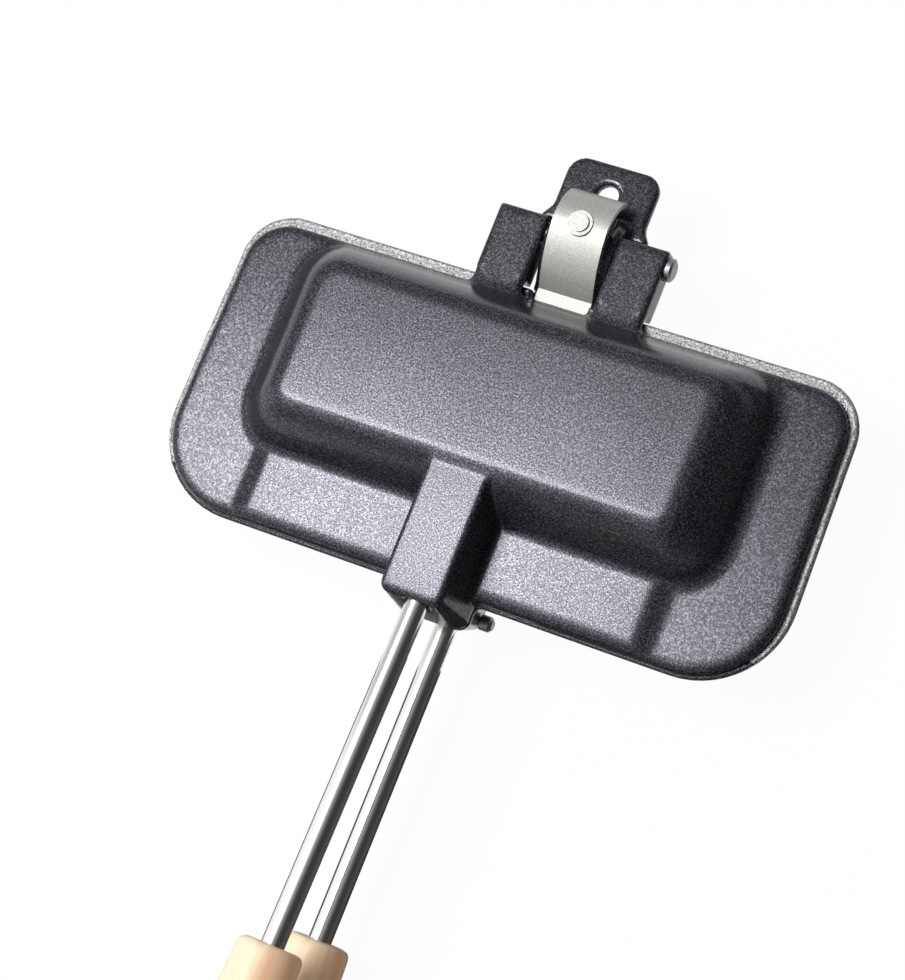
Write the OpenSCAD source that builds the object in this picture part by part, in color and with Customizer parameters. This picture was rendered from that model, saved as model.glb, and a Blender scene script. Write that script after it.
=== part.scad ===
// Pie iron: two hinged cast pans with steel rods and turned wooden grips.
// Frame: +X along the hinge pin, +Y toward the hinge, +Z up out of the closed pans.
// The origin is the middle of the flat bottom of the lower pan. Sizes are in mm.
// The halves are first drawn about the seam, with Y 0 at the front edge of the upper rim.

/* [Pan halves] */
// Width of the upper rim across its front corners
pan_w = 161.2; // [150:0.2:175]
// Depth of the upper rim from front edge to back edge
pan_l = 73.8; // [70:0.2:80]
// Narrowing of each side of the rim toward the hinge
side_taper = 0.8; // [0:0.1:2]
// Radius of the two front corners of the rim
front_r = 21; // [16:0.5:24]
// Radius of the two back corners of the rim
back_r = 11; // [8:0.5:14]
// Thickness of the flange above the seam
flange_t = 3; // [2.6:0.1:4]
// Casting wall over the food hollow, measured level
wall_t = 3.4; // [2.8:0.1:4.2]
// Gap at the seam between the closed halves
seam_gap = 0.3; // [0.1:0.05:0.6]
// Rise of the middle of the front flange above its ends
step_h = 1.2; // [0.6:0.1:1.8]
// Distance from the front of the rim to the front of that raised middle
step_y = 1.3; // [1.2:0.1:2.6]

/* [Raised dish] */
// Height of the flat top of the dish above the seam
dish_h = 17.2; // [15.5:0.1:19]
// Half width of the dish where it meets the flange
dish_foot_x = 63.3; // [60:0.1:66]
// Half width of the flat top of the dish
dish_top_x = 51.4; // [48:0.1:54]
// Front edge of the dish foot
dish_foot_y = 18.3; // [16:0.1:20]
// Front edge of the flat top
dish_top_y = 28.6; // [26:0.1:31]
// Level run of the back wall of the dish
dish_back_run = 9; // [6:0.1:11]
// Outward bulge of the dish walls, 0 for straight walls
wall_bulge = 0.45; // [0:0.05:0.7]

/* [Rod sockets] */
// Depth of the block's top below the flat top of the dish
block_drop = 0.5; // [0:0.1:1]
// Half width of the socket block at its top
block_top_x = 7.45; // [6.5:0.05:9]
// How much further the top of the upper block reaches to the left
block_flare = 0.9; // [0:0.1:1.5]
// Half width of the socket block at the seam
block_foot_x = 9.4; // [9:0.1:12]
// Sideways offset of the foot of the block
block_foot_mid = 0.9; // [0:0.1:1.2]
// Distance the block stands in front of the rim at its top
block_top_out = 5.7; // [4:0.1:7]
// The same distance on the lower half
block_low_out = 4.3; // [3.5:0.1:7]
// Distance the block stands in front of the rim at the seam
block_foot_out = 7.7; // [7:0.1:9.5]

/* [Rods and grips] */
// Diameter of the steel rods
rod_d = 5.7; // [4.8:0.1:6]
// Height of each rod axis from the seam at the rod reference point
rod_z = 12.6; // [11.8:0.1:13]
// Outward spread of each rod, in degrees
rod_splay = 1.3; // [0:0.1:2]
// Sideways lean of both rods, in degrees
rod_lean = 0.8; // [0:0.1:1.5]
// Distance from the reference point to the top of the upper grip
upper_grip_at = 68; // [60:0.5:75]
// Distance from the reference point to the top of the lower grip
lower_grip_at = 63.5; // [60:0.5:75]
// Length of a wooden grip
grip_len = 112; // [95:1:125]
// Largest diameter of a wooden grip
grip_d = 19; // [18:0.2:21]
// Diameter of a wooden grip just below its top shoulder
grip_neck_d = 16; // [15:0.1:17]
// Diameter of the cross pins that hold the rods
cross_pin_d = 2.4; // [2:0.1:2.8]
// Wall left in the upper block beyond the blind end of its cross pin
pin_cover = 2.2; // [1.5:0.1:3]

/* [Hinge] */
// Sideways position of the hinge parts
hinge_x = 1.5; // [0:0.1:2]
// Distance of the pin axis behind the back edge of the upper rim
pin_out = 17; // [16.6:0.1:18]
// Depth of the pin axis below the seam
pin_drop = 0.2; // [0:0.1:0.6]
// Diameter of the hinge pin
pin_d = 4.2; // [3.6:0.1:4.6]
// Diameter of the head of the hinge pin
pin_head_d = 5.8; // [5:0.1:6.4]
// Height of the head of the hinge pin
pin_head_l = 1.6; // [1:0.1:2]
// Half of the gap between the two lugs
lug_in = 9.45; // [9:0.05:10]
// Width of one lug
lug_w = 12.9; // [11:0.1:14]
// Distance of the back end of the lugs behind the pin axis
lug_behind = 3.7; // [3.4:0.1:4.2]
// Height of the flat top of the lugs above the seam
lug_top = 3.5; // [3:0.1:4]
// Depth of the underside of the lugs below the seam
lug_drop = 3.6; // [3.2:0.1:4]
// Half width of the arm of the lower half between the lugs
arm_x = 7.6; // [7.3:0.05:8.4]
// Width of the spring strip
strip_w = 14.2; // [12:0.1:14.6]
// Thickness of the spring strip
strip_t = 1.2; // [1:0.1:1.4]

/* [Hanging tab] */
// Half width of the tab
tab_x = 12.1; // [11:0.1:13]
// Distance of the end of the tab behind the pin axis
tab_behind = 22.1; // [21.5:0.1:24]
// Depth of the top face of the tab below the seam
tab_drop = 3; // [2.8:0.1:3.4]
// Thickness of the tab
tab_t = 3; // [2.5:0.1:3.5]
// Diameter of the hanging hole
hole_d = 5.6; // [5:0.1:7]
// Distance of the hanging hole behind the pin axis
hole_behind = 14.2; // [14:0.1:15]

/* [View] */
// Sub-part to draw, or all

/* [Hidden] */
$fn = 64;
eps = 0.02;
run_fit = 0.06;
close_fit = 0.04;
dish_foot_back = pan_l - 0.8;
dish_top_back = dish_foot_back - dish_back_run;
dish_foot_r = 12;
dish_top_r = 4.6;
dish_root = flange_t - 0.9;
dish_levels = [0, 0.3, 0.55, 0.75, 0.88, 0.96, 1];
rest_y = (dish_top_y + dish_top_back) / 2;
lower_side = 1.9;
lower_front = 0.75;
lower_back = 2.8;
lip_h = 0.5;
lip_clear = 0.45;
lip_back_clear = 1.2;
pin_y = pan_l + pin_out;
lug_back = pin_y + lug_behind;
lug_front = pan_l + lower_back + 0.8;
tab_root = pin_y + 4.5;
hub_x = lug_in - 0.35;
// Side view of the arm's wide foot between the lugs, from the pin axis
hub_line = [[-13.6, -tab_drop - tab_t], [-13.6, -tab_drop - 0.3], [-12, -tab_drop - 0.1], [-9.9, -1.6],
    [-6.8, 0.8], [-4.5, 2.2], [-2.5, 2.9], [2.5, 2.9], [5, 1.8], [7, -0.6], [7.6, -tab_drop],
    [7.6, -tab_drop - tab_t]];
tab_back = pin_y + tab_behind;
hole_y = pin_y + hole_behind;
rivet_y = pin_y + 2.8;
rivet_foot = pin_d / 2 + 0.5;
rod_ref_y = -23;
rod_ref_x = 0.6;
rod_in = 37;
washer_t = 1.2;
washer_d = 12;
nut_l = 9;
nut_d = 9;
rod_tail = 5;
cross_y = -2.3;
cross_z = rod_z - (cross_y - rod_ref_y) * tan(rod_splay);
cross_head_d = 3.9;
cross_head_l = 3.3;
cross_t = cross_z / dish_h;
cross_right = (block_foot_mid + block_foot_x) * (1 - cross_t) + block_top_x * cross_t;
cross_left = (block_foot_mid - block_foot_x) * (1 - cross_t) - block_top_x * cross_t;
arm_top = tab_drop;
strip_crest_z = 7.1;
// Outer line of the spring strip as distance behind the pin axis and height over the seam
strip_line = [[-16.2, strip_t - arm_top], [-13.1, strip_t - arm_top], [-9.9, 1.1], [-6.8, 3.4], [-3.8, 5.05],
    [-0.8, 6.3], [1.6, 6.95], [3.2, strip_crest_z], [5.2, 6.95], [7.6, 6.2], [9.8, 4.85], [11.5, 3],
    [12.6, 0.7]];

function lean_dir() = [-tan(rod_lean), -1, tan(rod_splay)];
function norm_of(a, b) = [a[1] - b[1], b[0] - a[0]] / norm(b - a);
function line_norm(p, i) =
    let (n = len(p), a = norm_of(p[max(i - 1, 0)], p[max(i, 1)]), b = norm_of(p[min(i, n - 2)], p[min(i + 1, n - 1)]))
    (a + b) / norm(a + b);
function offset_line(p, d) = [for (i = [0:len(p) - 1]) p[i] + d * line_norm(p, i)];
function turned(p) = [for (i = [len(p) - 1:-1:0]) p[i]];
function shifted(p) = [for (q = p) [q[0] + pin_y, q[1]]];
arm_line = [for (q = shifted(offset_line(strip_line, -strip_t - 0.05))) if (q[0] < pin_y + 7.2) q];

// Places the part in the shared frame
module in_frame() {
    translate([0, -rest_y, dish_h])
        children();
}

// Points of an arc from angle a0 to angle a1
function arc(c, r, a0, a1) = [for (i = [0:14]) c + r * [cos(a0 + (a1 - a0) * i / 14), sin(a0 + (a1 - a0) * i / 14)]];
function mirrored(p) = [for (i = [len(p) - 1:-1:0]) [-p[i][0], p[i][1]]];

// Outline of a rim, grown at the sides, the front and the back
module rim_2d(side, front, back) {
    rf = front_r + side;
    rb = back_r + side;
    cf = [pan_w / 2 + side - rf, rf - front];
    cb = [pan_w / 2 - side_taper + side - rb, pan_l + back - rb];
    d = cb - cf;
    a = atan2(d[1], d[0]) - acos((rf - rb) / norm(d));
    half = concat(arc(cf, rf, -90, a), arc(cb, rb, a, 90));
    polygon(concat(half, mirrored(half)));
}

// Rectangle with round corners, from -x to x and from y0 to y1
module rounded_2d(x, y0, y1, r) {
    half = concat(arc([x - r, y0 + r], r, -90, 0), arc([x - r, y1 - r], r, 0, 90));
    polygon(concat(half, mirrored(half)));
}

// Outline of the dish between its foot, t 0, and its flat top, t 1, drawn in by a margin
module dish_2d(t, m) {
    x = dish_foot_x + (dish_top_x - dish_foot_x) * t - m;
    y0 = dish_foot_y + (dish_top_y - dish_foot_y) * t + m;
    y1 = dish_foot_back + (dish_top_back - dish_foot_back) * t - m;
    r = dish_foot_r + (dish_top_r - dish_foot_r) * t - 0.5 * m;
    rounded_2d(x, y0, y1, r);
}

// Share of the slope at a share of the height, for a wall that is steep below and rounds over above
function bulged(s, t0, t1) = t0 + (t1 - t0) * (s + wall_bulge * (1 - sqrt(1 - s * s) - s));

module between(z0, z1) {
    translate([0, 0, z0])
        linear_extrude(z1 - z0)
            children();
}

// One half without hinge parts, standing on the seam
module pan_half(side, front, back, block_out, flare = 0, pin_reach = 30) {
    difference() {
        union() {
            hull() {
                between(0, flange_t - 1.7)
                    rim_2d(side, front, back);
                between(0, flange_t - 0.6)
                    rim_2d(side - 0.3, front - 0.3, back - 0.3);
                between(0, flange_t)
                    rim_2d(side - 1.1, front - 1.1, back - 1.1);
            }
            hull() {
                between(flange_t - 0.5, flange_t - 0.3)
                    translate([-56.8, step_y - 0.9 - front])
                        square([111.6, 30]);
                between(flange_t - 0.5, flange_t + step_h)
                    translate([-53, step_y - front])
                        square([103.8, 30]);
            }
            intersection() {
                hull() {
                    between(flange_t - 0.6, flange_t - 0.4)
                        dish_2d(-0.09, 0);
                    between(flange_t - 0.6, flange_t + 1.4)
                        dish_2d(0.12, 0);
                }
                between(0.5, dish_h - 3)
                    rim_2d(side - 0.4, front, back - 0.5);
            }
            hull() {
                for (s = dish_levels)
                    between(dish_root - 0.2, dish_root + (dish_h - dish_root) * s + (s == 0 ? 0.01 : 0))
                        dish_2d(bulged(s, -0.03, 1.02), 0);
            }
            hull() {
                translate([block_foot_mid, 0])
                    between(-1, -0.5)
                        rounded_2d(block_foot_x + 0.1, -block_foot_out - 0.1, 33, 3.2);
                translate([-flare / 2, 0]) {
                    between(-1, dish_h - block_drop - 1)
                        rounded_2d(block_top_x + flare / 2 + 0.2, -block_out - 0.2, 32.6, 2);
                    between(-1, dish_h - block_drop)
                        rounded_2d(block_top_x + flare / 2 - 0.4, -block_out + 0.4, 32, 1.6);
                }
            }
        }
        hull() {
            for (s = dish_levels)
                between(-2, (dish_h - wall_t) * s)
                    dish_2d(bulged(s, -0.12, 0.98), wall_t);
        }
        translate([-pan_w, -pan_w, -5])
            cube([2 * pan_w, 2 * pan_w, 5 + seam_gap / 2]);
        on_rod()
            translate([0, 0, -rod_in])
                cylinder(d = rod_d + 2 * close_fit, h = rod_in + 30);
        cross_bore(pin_reach);
    }
}

// Stands local Z along the rod, from the reference point toward the grip
module on_rod() {
    d = lean_dir();
    translate([rod_ref_x, rod_ref_y, rod_z])
        rotate([0, 0, atan2(d[1], d[0])])
            rotate([0, acos(d[2] / norm(d)), 0])
                children();
}

module across(x0, x1) {
    translate([x0, 0, 0])
        rotate([90, 0, 90])
            linear_extrude(x1 - x0)
                children();
}

module upper_pan() {
    color("#4a4b50")
        difference() {
            union() {
                pan_half(0, 0, 0, block_top_out, block_flare, cross_right - pin_cover);
                for (s = [-1, 1]) {
                    x0 = hinge_x + (s > 0 ? lug_in : -lug_in - lug_w);
                    across(x0, x0 + lug_w) {
                        polygon([[pan_l - 5, 0.8], [lug_front, 0.8], [lug_front, -lug_drop],
                            [lug_back - 0.7, -lug_drop], [lug_back, -lug_drop + 0.7], [lug_back, lug_top - 1.2],
                            [lug_back - 0.35, lug_top - 0.35], [lug_back - 1.2, lug_top], [pan_l - 5, lug_top]]);
                    }
                }
            }
            translate([hinge_x - 40, pin_y, -pin_drop])
                rotate([0, 90, 0])
                    cylinder(d = pin_d + 2 * close_fit, h = 80);
        }
}

module lower_pan() {
    color("#47484d")
        difference() {
            union() {
                mirror([0, 0, 1])
                    pan_half(lower_side, lower_front, lower_back, block_low_out);
                translate([0, 0, -seam_gap / 2 - eps])
                    linear_extrude(lip_h + eps)
                        difference() {
                            rim_2d(lower_side - 0.2, lower_front, lower_back - 0.2);
                            rim_2d(lip_clear, lip_back_clear, lip_back_clear);
                        }
                across(hinge_x - arm_x, hinge_x + arm_x)
                    polygon(concat([[pan_l - 2, -seam_gap / 2 - 0.4], [pan_l + 0.4, -seam_gap / 2 - 0.4]], arm_line,
                        [[pin_y + 7.8, 3.4], [pin_y + 8.4, -tab_drop], [pin_y + 10, -tab_drop],
                        [pin_y + 10, -tab_drop - tab_t], [pan_l - 2, -tab_drop - tab_t]]));
                across(hinge_x - hub_x, hinge_x + hub_x)
                    polygon(shifted(hub_line));
                translate([hinge_x, 0, -tab_drop - tab_t])
                    linear_extrude(tab_t)
                        tab_2d();
            }
            translate([hinge_x - 40, pin_y, -pin_drop])
                rotate([0, 90, 0])
                    cylinder(d = pin_d + 2 * run_fit, h = 80);
            translate([hinge_x, hole_y, -20])
                cylinder(d = hole_d, h = 30);
            translate([hinge_x - strip_w / 2 - 0.35, pin_y + strip_line[0][0] - 0.35, strip_line[0][1] - strip_t - 0.05])
                cube([strip_w + 0.7, 4.5, 6]);
            rivet_shank(close_fit);
        }
}

// Hanging tab seen from above, with a wider root
module tab_2d() {
    r = 4.5;
    half = concat([[tab_x + 2.2, tab_root], [tab_x + 1.8, tab_root + 1.5], [tab_x + 0.6, tab_root + 3],
        [tab_x, tab_root + 4.5]],
        arc([tab_x - r, tab_back - r], r, 0, 90));
    polygon(concat(half, mirrored(half)));
}

module rivet_shank(extra) {
    translate([hinge_x, rivet_y, rivet_foot])
        cylinder(d = 3.2 + 2 * extra, h = strip_crest_z - rivet_foot, $fn = 32);
}

module hinge_pin() {
    color("#a8a8aa")
        translate([hinge_x - lug_in - lug_w, pin_y, -pin_drop])
            rotate([0, 90, 0]) {
                cylinder(d = pin_d, h = 2 * (lug_in + lug_w));
                translate([0, 0, 2 * (lug_in + lug_w) + 0.1])
                    cylinder(d = pin_head_d, h = pin_head_l - 0.5);
                translate([0, 0, 2 * (lug_in + lug_w) + 0.1 + pin_head_l - 0.5])
                    cylinder(d1 = pin_head_d, d2 = pin_head_d - 1.4, h = 0.5);
                translate([0, 0, 2 * (lug_in + lug_w) - 0.2])
                    cylinder(d = pin_d, h = 0.6);
            }
}

module spring_strip() {
    color("#c9c9c6")
        difference() {
            across(hinge_x - strip_w / 2, hinge_x + strip_w / 2)
                polygon(concat(shifted(strip_line), turned(shifted(offset_line(strip_line, -strip_t)))));
            rivet_shank(close_fit);
        }
}

module strip_rivet() {
    color("#d2d2d0") {
        rivet_shank(0);
        difference() {
            translate([hinge_x, rivet_y, strip_crest_z - 0.5]) {
                cylinder(d = 6.4, h = 0.9);
                cylinder(d = 4.6, h = 1.5);
            }
            across(hinge_x - 8, hinge_x + 8)
                polygon(concat(shifted(strip_line), [[pin_y, -5]]));
        }
    }
}

module rod(at) {
    total = at + grip_len + washer_t + nut_l - 2;
    on_rod()
        translate([0, 0, -rod_in + 0.2])
            difference() {
                cylinder(d = rod_d, h = total + rod_in);
                translate([0, 0, total + rod_in - rod_tail])
                    difference() {
                        cylinder(d = rod_d + 2, h = rod_tail + 1);
                        translate([0, 0, -1])
                            cylinder(d = rod_d - 0.5, h = rod_tail + 3);
                    }
            }
}

module upper_rod() {
    color("#c4c4c6")
        difference() {
            rod(upper_grip_at);
            cross_bore();
        }
}

module lower_rod() {
    color("#c4c4c6")
        mirror([0, 0, 1])
            difference() {
                rod(lower_grip_at);
                cross_bore();
            }
}

module cross_bore(reach = 30) {
    translate([-30, cross_y, cross_z])
        rotate([0, 90, 0])
            cylinder(d = cross_pin_d + 2 * close_fit, h = reach + 30, $fn = 32);
}

module upper_cross_pin() {
    color("#9c9c9e")
        translate([cross_left + 0.5, cross_y, cross_z])
            rotate([0, 90, 0])
                cylinder(d = cross_pin_d, h = cross_right - pin_cover - cross_left - 0.7, $fn = 32);
}

module lower_cross_pin() {
    color("#b8b8b8")
        translate([cross_left + 0.5, cross_y, -cross_z])
            rotate([0, 90, 0]) {
                cylinder(d = cross_pin_d, h = cross_right - cross_left, $fn = 32);
                translate([0, 0, cross_right - cross_left - 0.1]) {
                    cylinder(d = cross_head_d, h = cross_head_l - 1);
                    translate([0, 0, cross_head_l - 1])
                        cylinder(d1 = cross_head_d, d2 = cross_head_d - 1.6, h = 0.8);
                }
            }
}

// Turned grip as radius against distance from its top face
module grip(at) {
    r0 = grip_neck_d / 2;
    r1 = grip_d / 2;
    bore = rod_d / 2 + close_fit;
    on_rod()
        translate([0, 0, at])
            rotate_extrude()
                polygon([[bore, 0], [r0 - 1.9, 0], [r0 - 0.8, 0.35], [r0 - 0.2, 1.1], [r0, 2.2], [r0 + 0.35, 10],
                    [r1 - 0.7, 28], [r1 - 0.12, 45], [r1, 60], [r1 - 0.25, 80], [r1 - 0.8, grip_len - 12],
                    [r1 - 1.2, grip_len - 4], [r1 - 1.8, grip_len - 1.6], [r1 - 3, grip_len - 0.4],
                    [r1 - 4, grip_len], [bore, grip_len]]);
}

module upper_grip() {
    color("#e6d3ac")
        grip(upper_grip_at);
}

module lower_grip() {
    color("#d9b894")
        mirror([0, 0, 1])
            grip(lower_grip_at);
}

module washer(at) {
    on_rod()
        translate([0, 0, at + grip_len])
            difference() {
                cylinder(d = washer_d, h = washer_t);
                translate([0, 0, -1])
                    cylinder(d = rod_d + 2 * close_fit, h = washer_t + 2);
            }
}

// Domed nut on the rod end
module nut(at) {
    on_rod()
        translate([0, 0, at + grip_len + washer_t])
            difference() {
                union() {
                    cylinder(d = nut_d / cos(30), h = 5, $fn = 6);
                    cylinder(d = nut_d - 0.4, h = nut_l - 2);
                    translate([0, 0, nut_l - 2])
                        cylinder(d1 = nut_d - 0.4, d2 = nut_d - 4, h = 2);
                }
                translate([0, 0, -1])
                    cylinder(d = rod_d + 2 * close_fit, h = nut_l - 0.4);
            }
}

module upper_washer() {
    color("#bdbdbf")
        washer(upper_grip_at);
}

module lower_washer() {
    color("#bdbdbf")
        mirror([0, 0, 1])
            washer(lower_grip_at);
}

module upper_nut() {
    color("#c6c6c8")
        nut(upper_grip_at);
}

module lower_nut() {
    color("#c6c6c8")
        mirror([0, 0, 1])
            nut(lower_grip_at);
}

in_frame() upper_pan();
in_frame() lower_pan();
in_frame() hinge_pin();
in_frame() spring_strip();
in_frame() strip_rivet();
in_frame() upper_rod();
in_frame() lower_rod();
in_frame() upper_cross_pin();
in_frame() lower_cross_pin();
in_frame() upper_grip();
in_frame() lower_grip();
in_frame() upper_washer();
in_frame() lower_washer();
in_frame() upper_nut();
in_frame() lower_nut();
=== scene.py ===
from math import radians

import bmesh
import bpy
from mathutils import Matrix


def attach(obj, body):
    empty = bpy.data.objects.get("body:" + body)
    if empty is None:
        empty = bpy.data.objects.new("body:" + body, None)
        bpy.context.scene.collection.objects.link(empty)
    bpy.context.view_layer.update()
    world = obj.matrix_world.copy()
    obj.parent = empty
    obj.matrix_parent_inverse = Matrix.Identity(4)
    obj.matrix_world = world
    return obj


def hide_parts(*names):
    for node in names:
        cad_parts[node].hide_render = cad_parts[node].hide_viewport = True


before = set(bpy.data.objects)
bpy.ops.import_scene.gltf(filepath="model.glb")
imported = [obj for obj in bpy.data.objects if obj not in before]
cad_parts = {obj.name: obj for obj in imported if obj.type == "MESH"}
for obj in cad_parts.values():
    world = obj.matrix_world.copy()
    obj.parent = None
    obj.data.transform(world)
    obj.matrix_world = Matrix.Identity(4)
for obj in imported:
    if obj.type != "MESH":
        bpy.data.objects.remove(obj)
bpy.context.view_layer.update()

scene = bpy.context.scene
scene.view_settings.view_transform = "Standard"


# Camera
# It stands above and to the right of the closed pan, about 70 cm from it, and looks down at
# the raised middle, with the grips running out of the bottom of the picture.
camera_data = bpy.data.cameras.new("camera")
camera_data.sensor_width = 36.0
camera_data.lens = 106.53
camera_data.clip_start = 0.02
camera_data.clip_end = 20.0
camera = bpy.data.objects.new("camera", camera_data)
scene.collection.objects.link(camera)
camera.location = (0.23457, -0.12202, 0.65765)
camera.rotation_euler = [radians(angle) for angle in (15.435, 16.061, 22.473)]
scene.camera = camera


# Pan halves
# Two gravity die castings in aluminium, each a shallow dish with a flat flange and a socket
# block for its rod. The upper one has the two hinge lugs, the lower one the arm and the tab.
# Both are sprayed with a speckled dark grey non-stick coat and baked.
def srgb(code):
    """Linear RGBA of an sRGB hex colour such as 7A7C80."""
    parts = [int(code[i:i + 2], 16) / 255 for i in (0, 2, 4)]
    return [c / 12.92 if c <= 0.04045 else ((c + 0.055) / 1.055) ** 2.4 for c in parts] + [1.0]


def add_node(tree, kind, settings=None, links=None):
    """Adds a node, sets its properties or sockets, and links outputs into its inputs."""
    node = tree.nodes.new(kind)
    for key, value in (settings or {}).items():
        if isinstance(key, str) and hasattr(node, key):
            setattr(node, key, value)
        else:
            node.inputs[key].default_value = value
    for socket, source in (links or {}).items():
        tree.links.new(source, node.inputs[socket])
    return node


def new_material(name):
    """An empty material and its node tree."""
    material = bpy.data.materials.new(name)
    material.use_nodes = True
    material.node_tree.nodes.clear()
    return material, material.node_tree


def finish_material(tree, shader):
    """Gives the tree its output, fed by the shader."""
    add_node(tree, "ShaderNodeOutputMaterial", links={"Surface": shader.outputs[0]})


def set_tones(ramp_node, low, low_code, high, high_code):
    """Sets the two ends of a colour ramp: the level of each and its sRGB colour."""
    first, last = ramp_node.color_ramp.elements
    first.position, first.color = low, srgb(low_code)
    last.position, last.color = high, srgb(high_code)


def clean_copy(node, name, body, smooth_angle=34.0, flat_angle=0.8, merge=0.00002):
    """A merged copy of a CAD node that stands for it, with smooth faces between its real edges.

    smooth_angle and flat_angle are in degrees, merge is in metres."""
    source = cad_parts[node]
    shell = bmesh.new()
    shell.from_mesh(source.data)
    bmesh.ops.remove_doubles(shell, verts=shell.verts, dist=merge)
    bmesh.ops.dissolve_degenerate(shell, edges=shell.edges, dist=merge)
    bmesh.ops.dissolve_limit(shell, angle_limit=radians(flat_angle), verts=shell.verts,
                             edges=shell.edges)
    for face in shell.faces:
        face.smooth = True
    mesh = bpy.data.meshes.new(name)
    shell.to_mesh(mesh)
    shell.free()
    if "custom_normal" in mesh.attributes:
        mesh.attributes.remove(mesh.attributes["custom_normal"])
    mesh.set_sharp_from_angle(angle=radians(smooth_angle))
    piece = bpy.data.objects.new(name, mesh)
    scene.collection.objects.link(piece)
    level = piece.modifiers.new("level", "WEIGHTED_NORMAL")
    level.weight = 100
    level.keep_sharp = True
    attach(piece, body)
    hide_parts(node)
    return piece


def cast_copy(node, name, body, wear, grain=0.00065):
    """A casting's soft skin: the CAD solid drawn again in small even faces, its edges worn round.

    wear() tells how many turns of smoothing a point gets, from its place in millimetres. grain
    is the size of the small faces, in metres."""
    piece = clean_copy(node, name, body)
    piece.modifiers.clear()
    voxels = piece.modifiers.new("voxels", "REMESH")
    voxels.mode = "VOXEL"
    voxels.voxel_size = grain
    bpy.context.view_layer.update()
    drawn = piece.evaluated_get(bpy.context.evaluated_depsgraph_get())
    mesh = bpy.data.meshes.new_from_object(drawn)
    piece.modifiers.clear()
    piece.data = mesh
    mesh.name = name
    shell = bmesh.new()
    shell.from_mesh(mesh)
    turns = [(v, wear(v.co * 1000)) for v in shell.verts]
    for turn in range(max(n for v, n in turns)):
        bmesh.ops.smooth_vert(shell, verts=[v for v, n in turns if n > turn], factor=0.5,
                              use_axis_x=True, use_axis_y=True, use_axis_z=True)
    for face in shell.faces:
        face.smooth = True
    shell.to_mesh(mesh)
    shell.free()
    level = piece.modifiers.new("level", "WEIGHTED_NORMAL")
    level.weight = 100
    return piece


# Baked PTFE non-stick coat with metal flake over die-cast aluminium: a dark film whose flakes
# give a broad grey sheen, with specks that are lighter or darker than it and faint clouds.
speck_size = 0.4348  # mm
cloud_size = 26.3  # mm
coat, tree = new_material("ptfe_flake_coat_on_die_cast_aluminium")
place = add_node(tree, "ShaderNodeTexCoord")
specks = add_node(tree, "ShaderNodeTexNoise",
                  {"Scale": 1000 / speck_size, "Detail": 2.0, "Roughness": 0.8},
                  {"Vector": place.outputs["Object"]})
clouds = add_node(tree, "ShaderNodeTexNoise",
                  {"Scale": 1000 / cloud_size, "Detail": 4.0, "Roughness": 0.55},
                  {"Vector": place.outputs["Object"]})
speck_tone = add_node(tree, "ShaderNodeValToRGB", links={"Fac": specks.outputs["Fac"]})
set_tones(speck_tone, 0.34, "111114", 0.66, "5F6069")
speck_tone.color_ramp.elements.new(0.5).color = srgb("2D2D33")
cloud_tone = add_node(tree, "ShaderNodeMapRange", {1: 0.3, 2: 0.7, 3: 0.86, 4: 1.14},
                      {0: clouds.outputs["Fac"]})
coat_colour = add_node(tree, "ShaderNodeMix",
                       {"data_type": "RGBA", "blend_type": "MULTIPLY", "Factor": 1.0})
tree.links.new(speck_tone.outputs["Color"], coat_colour.inputs[6])
tree.links.new(cloud_tone.outputs[0], coat_colour.inputs[7])
pits = add_node(tree, "ShaderNodeBump", {"Strength": 0.27, "Distance": 0.00006},
                {"Height": specks.outputs["Fac"]})
coat_shader = add_node(tree, "ShaderNodeBsdfPrincipled", {"Metallic": 0.5, "Roughness": 0.2},
                       {"Base Color": coat_colour.outputs[2], "Normal": pits.outputs[0]})
finish_material(tree, coat_shader)

# Painted highlight: a dull pale metal with a fine mottle, put on the edge and the lip of the
# lower rim to paint in the light line that these faces catch.
rim_highlight_mottle_size = 0.3704  # mm
rim_highlight_metal, tree = new_material("pale_metal_painted_rim_highlight")
place = add_node(tree, "ShaderNodeTexCoord")
mottle = add_node(tree, "ShaderNodeTexNoise", {"Scale": 1000 / rim_highlight_mottle_size, "Detail": 2.0},
                  {"Vector": place.outputs["Object"]})
mottle_tone = add_node(tree, "ShaderNodeMapRange", {1: 0.38, 2: 0.62, 3: 0.08, 4: 0.42},
                       {0: mottle.outputs["Fac"]})
rim_highlight_shader = add_node(tree, "ShaderNodeBsdfPrincipled", {"Metallic": 0.4, "Roughness": 0.5},
                       {"Base Color": mottle_tone.outputs[0]})
finish_material(tree, rim_highlight_shader)

# Where the castings keep their edges, in millimetres. Behind hinge_side the dishes have ended,
# and in front of block_front there is only the lower block.
hinge_side = 31.0
block_front = -41.0
lower_flange_low = 14.4
upper_flange_top = 18.2
upper_block_half = 12.0
upper_block_back = -19.0


def lower_wear(p):
    """The dish is worn round. The flange, the hinge side and the front of the block are crisp."""
    return 1 if p.z > lower_flange_low or p.y > hinge_side or p.y < block_front else 9


def upper_wear(p):
    """The dish is worn round, the block on its front less so. The flange and lugs are crisp."""
    if p.z < upper_flange_top or p.y > hinge_side:
        return 1
    return 3 if abs(p.x) < upper_block_half and p.y < upper_block_back else 9


def in_rim_highlight(face):
    """Whether a face of the lower casting is on the rim's edge or its lip, which get the painted
    highlight.

    The hinge and the front of the rim are coated. The places are in millimetres."""
    rim_low, lip_low, rim_front = 14.0, 17.15, -38.0
    hinge_middle, hinge_half, hinge_front = 1.5, 22.0, 20.0
    x, y, z = face.center * 1000
    at_hinge = abs(x - hinge_middle) < hinge_half and y > hinge_front
    on_rim = z > rim_low and y > rim_front and not at_hinge
    return on_rim and (z > lip_low or face.normal.z < 0.5)


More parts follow.
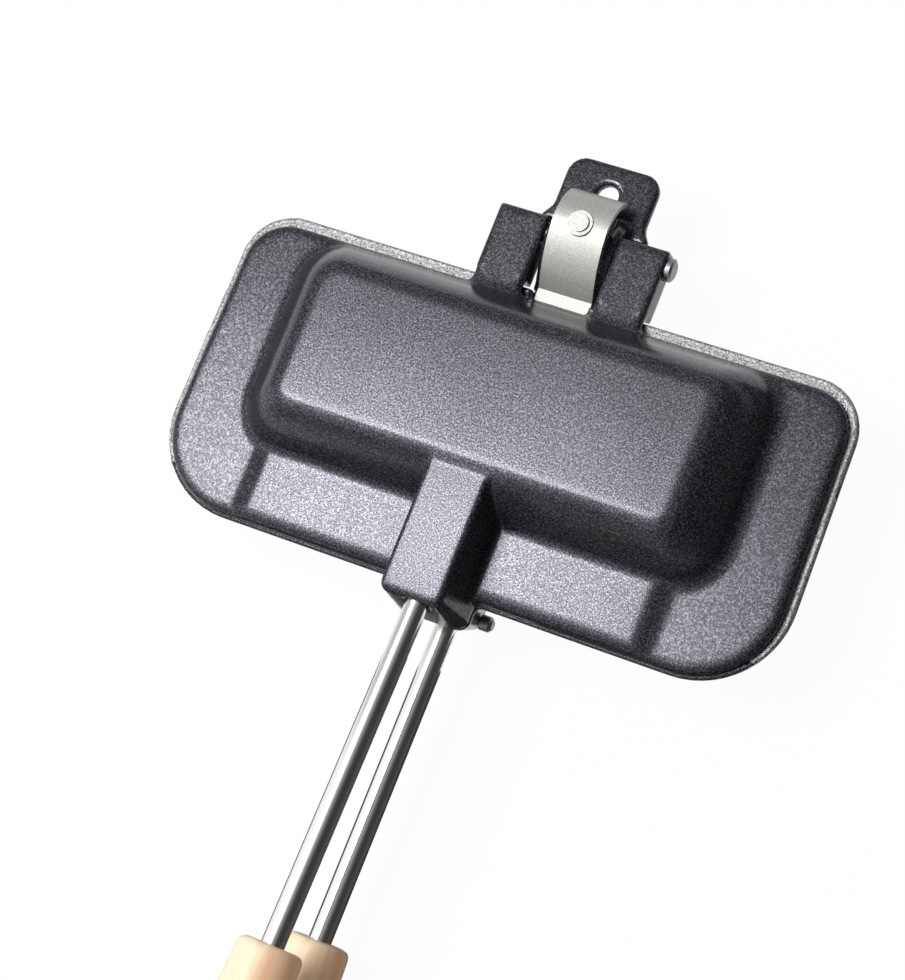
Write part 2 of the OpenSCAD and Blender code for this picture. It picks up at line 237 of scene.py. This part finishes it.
lower_pan = cast_copy("lower_pan", "lower_pan_casting", "lower_half", lower_wear)
lower_pan.data.materials.append(coat)
lower_pan.data.materials.append(rim_highlight_metal)
# Painted highlight: faces on the edge and lip of the lower rim take the pale metal.
for face in lower_pan.data.polygons:
    face.material_index = int(in_rim_highlight(face))
upper_pan = cast_copy("upper_pan", "upper_pan_casting", "upper_half", upper_wear)
upper_pan.data.materials.append(coat)


# Hinge pin
# A plain steel rivet pin, pressed through the two lugs of the upper half, with a flat head on
# the right. The arm of the lower half turns on it.

# Cold-headed mild steel with no finish: a dull mid grey metal with a faint mottle.
pin_mottle_size = 1.111  # mm
pin_steel, tree = new_material("cold_headed_mild_steel")
place = add_node(tree, "ShaderNodeTexCoord")
mottle = add_node(tree, "ShaderNodeTexNoise", {"Scale": 1000 / pin_mottle_size, "Detail": 3.0},
                  {"Vector": place.outputs["Object"]})
mottle_tone = add_node(tree, "ShaderNodeValToRGB", links={"Fac": mottle.outputs["Fac"]})
set_tones(mottle_tone, 0.3, "7C7C7E", 0.7, "9E9EA0")
pin_shader = add_node(tree, "ShaderNodeBsdfPrincipled", {"Metallic": 0.9, "Roughness": 0.42},
                      {"Base Color": mottle_tone.outputs["Color"]})
finish_material(tree, pin_shader)
hinge_pin = clean_copy("hinge_pin", "hinge_pin_steel", "upper_half")
hinge_pin.data.materials.append(pin_steel)


# Spring strip and its rivet
# A strip of spring steel, bent over the hinge arm and held by one domed rivet. Both are
# zinc plated.

# Zinc plate that has gone dull: a pale warm grey metal with fine specks.
zinc_speck_size = 0.3846  # mm
strip_steel, tree = new_material("zinc_plated_spring_steel")
place = add_node(tree, "ShaderNodeTexCoord")
mottle = add_node(tree, "ShaderNodeTexNoise",
                  {"Scale": 1000 / zinc_speck_size, "Detail": 2.0, "Roughness": 0.8},
                  {"Vector": place.outputs["Object"]})
mottle_tone = add_node(tree, "ShaderNodeValToRGB", links={"Fac": mottle.outputs["Fac"]})
set_tones(mottle_tone, 0.3, "989894", 0.7, "C2C2BD")
strip_shader = add_node(tree, "ShaderNodeBsdfPrincipled", {"Metallic": 0.7, "Roughness": 0.5},
                        {"Base Color": mottle_tone.outputs["Color"]})
finish_material(tree, strip_shader)
for node in ("spring_strip", "strip_rivet"):
    fitting = clean_copy(node, node + "_steel", "lower_half")
    fitting.data.materials.append(strip_steel)


# Rods
# Two lengths of steel wire, drawn bright and nickel plated, let into the socket blocks and
# held there by a cross pin each.

# Nickel on drawn wire: a bright, slightly warm metal with sharp streaks of light along it.
rod_steel, tree = new_material("nickel_plated_drawn_wire")
rod_shader = add_node(tree, "ShaderNodeBsdfPrincipled",
                      {"Base Color": srgb("E6E5E2"), "Metallic": 1.0, "Roughness": 0.15})
finish_material(tree, rod_shader)
for node, body in (("lower_rod", "lower_half"), ("upper_rod", "upper_half")):
    rod = clean_copy(node, node + "_wire", body)
    rod.data.materials.append(rod_steel)


# Cross pins
# Short steel pins driven sideways through each block and rod. The lower one has a head on the
# right, the upper one ends inside its block there.
for node, body in (("lower_cross_pin", "lower_half"), ("upper_cross_pin", "upper_half")):
    pin = clean_copy(node, node + "_steel", body)
    pin.data.materials.append(pin_steel)


# Grips
# Beech handles turned on a lathe, drilled through for the rods and dipped in clear lacquer.
# Each is pushed onto its rod and held there by a nut at its end.

# Lacquered beech: satin cream wood with the grain drawn out along the grip, and painted shade
# that turns it pink towards its right side. The shade width set below is the stretch across which
# it turns pink.
grain_width = 2.381  # mm
grain_stretch = 0.06
side_shade_width = 0.02
side_shade_start = -0.1
end_zone = 0.01
grip_wood, tree = new_material("lacquered_turned_beech")
place = add_node(tree, "ShaderNodeTexCoord")
along = add_node(tree, "ShaderNodeMapping", {"Scale": (1.0, grain_stretch, 1.0)},
                 {"Vector": place.outputs["Object"]})
grain = add_node(tree, "ShaderNodeTexNoise",
                 {"Scale": 1000 / grain_width, "Detail": 6.0, "Roughness": 0.62},
                 {"Vector": along.outputs[0]})
# Painted shade: the place across the grip, stored on its points, adds pink towards the right
# side.
side = add_node(tree, "ShaderNodeAttribute", {"attribute_name": "painted_side_shade"})
grain_and_shade = add_node(tree, "ShaderNodeMath", {"operation": "MULTIPLY_ADD", 1: 1.3},
                 {0: grain.outputs["Fac"], 2: side.outputs["Fac"]})
grain_and_shade_tone = add_node(tree, "ShaderNodeValToRGB", links={"Fac": grain_and_shade.outputs[0]})
set_tones(grain_and_shade_tone, 0.4, "E4D5B6", 1.0, "E2AE84")
wood_shader = add_node(tree, "ShaderNodeBsdfPrincipled", {"Roughness": 0.5},
                       {"Base Color": grain_and_shade_tone.outputs["Color"]})
finish_material(tree, wood_shader)
for node, body in (("lower_grip", "lower_half"), ("upper_grip", "upper_half")):
    grip = clean_copy(node, node + "_beech", body)
    grip.data.materials.append(grip_wood)
    points = [v.co.copy() for v in grip.data.vertices]
    ends = [min(p.y for p in points), max(p.y for p in points)]
    middles = []
    for end in ends:
        xs = [p.x for p in points if abs(p.y - end) < end_zone]
        middles.append((min(xs) + max(xs)) / 2)
    # Painted shade: each point's place across its grip, from the middle line to the right, sets
    # how far the wood is painted towards the darker pink.
    painted_side_shade = grip.data.attributes.new("painted_side_shade", "FLOAT", "POINT")
    for p, value in zip(points, painted_side_shade.data):
        share = (p.y - ends[0]) / (ends[1] - ends[0])
        middle = middles[0] + (middles[1] - middles[0]) * share
        value.value = side_shade_start + (p.x - middle) / side_shade_width


# Washers and nuts
# A washer and a domed nut close the end of each grip on the threaded rod. They are steel,
# nickel plated like the rods.
for node, body in (("lower_washer", "lower_half"), ("upper_washer", "upper_half"),
                   ("lower_nut", "lower_half"), ("upper_nut", "upper_half")):
    fitting = clean_copy(node, node + "_plated", body)
    fitting.data.materials.append(rod_steel)


# Studio
# A pale table just under the lower grip, one large soft lamp above the front left and a weak
# sky. A dark flag on the table and a white card over the rods show in the metal alone.
def level_sheet(x0, y0, x1, y1, z):
    """The corners of a level rectangle."""
    return [(x0, y0, z), (x1, y0, z), (x1, y1, z), (x0, y1, z)]


def stage_sheets(name, sheets, material):
    """Flat sheets that stand round the object and aren't part of it, each from its corners."""
    mesh = bpy.data.meshes.new(name)
    shape = bmesh.new()
    for corners in sheets:
        shape.faces.new([shape.verts.new(corner) for corner in corners])
    shape.to_mesh(mesh)
    shape.free()
    mesh.materials.append(material)
    stage = bpy.data.objects.new(name, mesh)
    scene.collection.objects.link(stage)
    return stage


def only_reflected(stage):
    """Leaves a sheet to the reflections: no view of it, no shadow and no light on the object."""
    stage.visible_camera = False
    stage.visible_shadow = False
    stage.visible_diffuse = False


# Matt white paper, which the camera sees as nearly all white light, so that only a trace of
# the shadow is left on it.
table_height = -0.0085
table_half = 2.5
white_to_camera = 0.965
paper, tree = new_material("matt_white_table")
ray = add_node(tree, "ShaderNodeLightPath")
paper_shade = add_node(tree, "ShaderNodeBsdfDiffuse", {"Color": srgb("E6E6E6")})
paper_white = add_node(tree, "ShaderNodeEmission", {"Color": srgb("FFFFFF"), "Strength": 1.0})
seen = add_node(tree, "ShaderNodeMath", {"operation": "MULTIPLY", 1: white_to_camera},
                {0: ray.outputs["Is Camera Ray"]})
glossy = add_node(tree, "ShaderNodeMath", {"operation": "MAXIMUM"},
                  {0: seen.outputs[0], 1: ray.outputs["Is Glossy Ray"]})
clear = add_node(tree, "ShaderNodeMath", {"operation": "MAXIMUM"},
                 {0: glossy.outputs[0], 1: ray.outputs["Is Transmission Ray"]})
paper_mix = add_node(tree, "ShaderNodeMixShader",
                     links={0: clear.outputs[0], 1: paper_shade.outputs[0],
                            2: paper_white.outputs[0]})
finish_material(tree, paper_mix)
stage_sheets("table_top", [level_sheet(-table_half, -table_half, table_half, table_half,
                                       table_height)], paper)

# The sky is white to the camera. On the object its strength falls off from left to right.
world = bpy.data.worlds.new("studio")
scene.world = world
world.use_nodes = True
tree = world.node_tree
tree.nodes.clear()
ray = add_node(tree, "ShaderNodeLightPath")
place = add_node(tree, "ShaderNodeTexCoord")
split = add_node(tree, "ShaderNodeSeparateXYZ", links={0: place.outputs["Generated"]})
lit_side = add_node(tree, "ShaderNodeMapRange",
                    {"interpolation_type": "SMOOTHSTEP", 1: -0.25, 2: 0.85, 3: 0.6, 4: 0.05},
                    {0: split.outputs[0]})
dim = add_node(tree, "ShaderNodeBackground", {"Color": srgb("FFFFFF")},
               {"Strength": lit_side.outputs[0]})
white = add_node(tree, "ShaderNodeBackground", {"Color": srgb("FFFFFF"), "Strength": 1.0})
sky = add_node(tree, "ShaderNodeMixShader",
               links={0: ray.outputs["Is Camera Ray"], 1: dim.outputs[0], 2: white.outputs[0]})
add_node(tree, "ShaderNodeOutputWorld", links={"Surface": sky.outputs[0]})

# The flag lies just over the table, in front of the pan and to the right of it, and gives the
# rods and the walls on those sides something dark to reflect.
flag_height = -0.0082
flag_right = 2.4
velvet, tree = new_material("black_velvet_flag")
finish_material(tree, add_node(tree, "ShaderNodeBsdfDiffuse", {"Color": srgb("4C4C4C")}))
flag = stage_sheets("black_flag",
                    [level_sheet(-0.09, -0.45, flag_right, -0.062, flag_height),
                     level_sheet(0.016, -0.062, flag_right, -0.052, flag_height),
                     level_sheet(0.084, -0.052, flag_right, 0.3, flag_height)], velvet)
only_reflected(flag)

# The card is bent, with a level part over the rods and an upright part at the left, and gives
# the rods their light side.
card_front, card_back = -0.5, -0.01
card_left, card_right = -0.75, 0.02
card_top = 0.45
card_white, tree = new_material("bounce_card_over_the_rods")
finish_material(tree, add_node(tree, "ShaderNodeEmission", {"Strength": 1.2}))
card = stage_sheets("white_card",
                    [level_sheet(card_left, card_front, card_right, card_back, card_top),
                     [(card_left, card_front, card_top), (card_left, card_back, card_top),
                      (card_left, card_back, 0.0), (card_left, card_front, 0.0)]], card_white)
only_reflected(card)

# The lamp points at the middle of the pan.
softbox = bpy.data.lights.new("front_left_softbox", "AREA")
softbox.shape = "RECTANGLE"
softbox.size = 0.42
softbox.size_y = 0.45
softbox.energy = 13.5
lamp = bpy.data.objects.new("front_left_softbox", softbox)
scene.collection.objects.link(lamp)
lamp.location = (-0.455, -0.051, 1.12)
lamp.rotation_euler = (-lamp.location).to_track_quat("-Z", "Y").to_euler()
